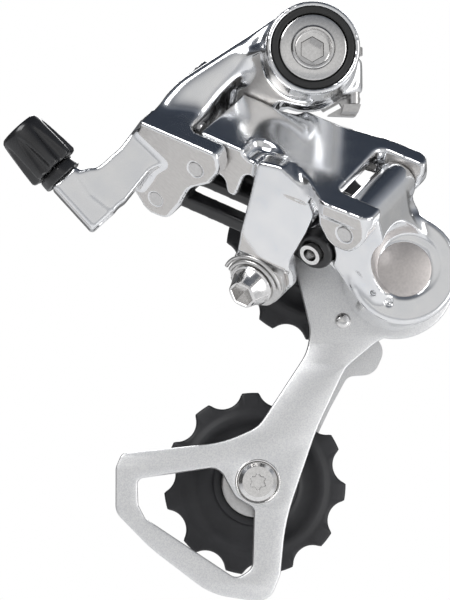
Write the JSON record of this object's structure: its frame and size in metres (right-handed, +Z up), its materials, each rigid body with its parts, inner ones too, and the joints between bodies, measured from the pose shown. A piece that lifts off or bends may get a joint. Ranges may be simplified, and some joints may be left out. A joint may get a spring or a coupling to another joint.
{
  "type": "rear bicycle derailleur",
  "caption": "Short-cage rear derailleur: mounting knuckle, slanted link pair, cage knuckle, sprung pulley cage, cable clamp and barrel adjuster.",
  "frame": {"origin": "axis of the hanger bolt at the face that rests on the frame's hanger", "axes": "+X to the front of the bicycle, +Y inboard along the hanger bolt, +Z up"},
  "size_m": [0.1068, 0.0555, 0.1379],
  "materials": {
    "forged_aluminium": "polished forging with satin faces at the pins",
    "blasted_aluminium": "fine bead-blasted and anodised",
    "steel": "bright turned steel",
    "plated_steel": "bright plated",
    "black_paint": "satin black",
    "black_resin": "satin moulded resin",
    "gloss_resin": "glossy moulded resin",
    "bearing_resin": "moulded dry bearing",
    "seal_rubber": "matt black rubber",
    "spring_steel": "dark oiled spring wire",
    "cap_finish": "satin flat disc"
  },
  "bodies": {
    "hanger_mount": {"hanger_bolt": "plated_steel", "stop_plate": "steel", "bolt_retaining_ring": "spring_steel"},
    "mounting_knuckle": {"b_knuckle": "forged_aluminium", "hanger_seal": "seal_rubber", "hanger_bushing": "bearing_resin", "hanger_spring": "spring_steel", "outer_link_rear_pin": "steel", "inner_link_rear_pin": "steel", "adjuster_collar": "black_resin"},
    "high_limit_screw": {"high_limit_screw": "steel"},
    "low_limit_screw": {"low_limit_screw": "steel"},
    "body_angle_screw": {"body_angle_screw": "steel"},
    "adjuster_barrel": {"adjuster_barrel": "plated_steel", "adjuster_spring": "spring_steel"},
    "adjuster_knob": {"adjuster_knob": "gloss_resin"},
    "outer_link": {"outer_link": "forged_aluminium", "cable_clamp_plate": "steel", "cable_clamp_bolt": "plated_steel", "outer_link_front_pin": "steel", "return_spring": "spring_steel"},
    "inner_link": {"inner_link": "black_paint", "inner_link_front_pin": "plated_steel"},
    "cage_knuckle": {"p_knuckle": "forged_aluminium", "pivot_cap": "cap_finish", "pivot_bushing": "bearing_resin", "cage_spring": "spring_steel", "pivot_seal": "seal_rubber"},
    "cage": {"cage_outer_plate": "blasted_aluminium", "cage_inner_plate": "blasted_aluminium", "cage_axle": "steel", "cage_stop_pin": "steel", "guide_pulley_bushing": "steel", "guide_pulley_dust_caps": "blasted_aluminium", "guide_pulley_bolt": "plated_steel", "guide_pulley_spacers": "blasted_aluminium", "tension_pulley_bushing": "steel", "tension_pulley_dust_caps": "blasted_aluminium", "tension_pulley_bolt": "plated_steel", "tension_pulley_spacers": "blasted_aluminium"},
    "guide_pulley": {"guide_pulley": "black_resin"},
    "tension_pulley": {"tension_pulley": "black_resin"}
  },
  "joints": [
    {"name": "hanger_pivot", "type": "hinge", "parent": "hanger_mount", "child": "mounting_knuckle", "pos_m": [0, 0, 0], "axis": [0, -1, 0], "range_deg": [0, 25], "stiffness_Nm_per_rad": 0.6, "springref_deg": -68.75},
    {"name": "outer_link_pivot", "type": "hinge", "parent": "mounting_knuckle", "child": "outer_link", "pos_m": [-0.0268, -0.016, -0.0277], "axis": [0.5497, 0.6018, 0.5793], "range_deg": [0, 60], "stiffness_Nm_per_rad": 0.25, "springref_deg": -85.94},
    {"name": "inner_link_pivot", "type": "hinge", "parent": "mounting_knuckle", "child": "inner_link", "pos_m": [-0.03538, -0.00323, -0.03282], "axis": [0.5497, 0.6018, 0.5793], "range_deg": [0, 60]},
    {"name": "cage_knuckle_pivot", "type": "hinge", "parent": "outer_link", "child": "cage_knuckle", "pos_m": [0.00606, -0.03005, -0.04429], "axis": [0.5497, 0.6018, 0.5793], "range_deg": [-60, 0]},
    {"name": "cage_pivot", "type": "hinge", "parent": "cage_knuckle", "child": "cage", "pos_m": [0.0214, -0.006, -0.0501], "axis": [0, -1, 0], "range_deg": [0, 75], "stiffness_Nm_per_rad": 0.3, "springref_deg": -68.75},
    {"name": "guide_pulley_spin", "type": "hinge", "parent": "cage", "child": "guide_pulley", "pos_m": [0.0036, 0.011, -0.0428], "axis": [0, -1, 0], "continuous": true},
    {"name": "tension_pulley_spin", "type": "hinge", "parent": "cage", "child": "tension_pulley", "pos_m": [-0.0112, 0.011, -0.0985], "axis": [0, -1, 0], "continuous": true},
    {"name": "adjuster_travel", "type": "slide", "parent": "mounting_knuckle", "child": "adjuster_barrel", "axis": [-0.6756, 0, 0.7373], "range_m": [0, 0.0024]},
    {"name": "adjuster_turn", "type": "hinge", "parent": "adjuster_barrel", "child": "adjuster_knob", "pos_m": [-0.06101, -0.008, -0.02415], "axis": [-0.6756, 0, 0.7373], "range_deg": [0, 1080]},
    {"name": "high_limit_setting", "type": "slide", "parent": "mounting_knuckle", "child": "high_limit_screw", "axis": [-0.834, 0.3566, 0.421], "range_m": [0, 0.0015]},
    {"name": "low_limit_setting", "type": "slide", "parent": "mounting_knuckle", "child": "low_limit_screw", "axis": [-0.834, 0.3566, 0.421], "range_m": [0, 0.0015]},
    {"name": "body_angle_setting", "type": "slide", "parent": "mounting_knuckle", "child": "body_angle_screw", "axis": [0, 0, 1], "range_m": [0, 0.002]}
  ],
  "couplings": [
    {"joint": "inner_link_pivot", "follows": "outer_link_pivot", "ratio": 1},
    {"joint": "cage_knuckle_pivot", "follows": "outer_link_pivot", "ratio": -1},
    {"joint": "adjuster_turn", "follows": "adjuster_travel", "rad_per_m": 7854}
  ]
}
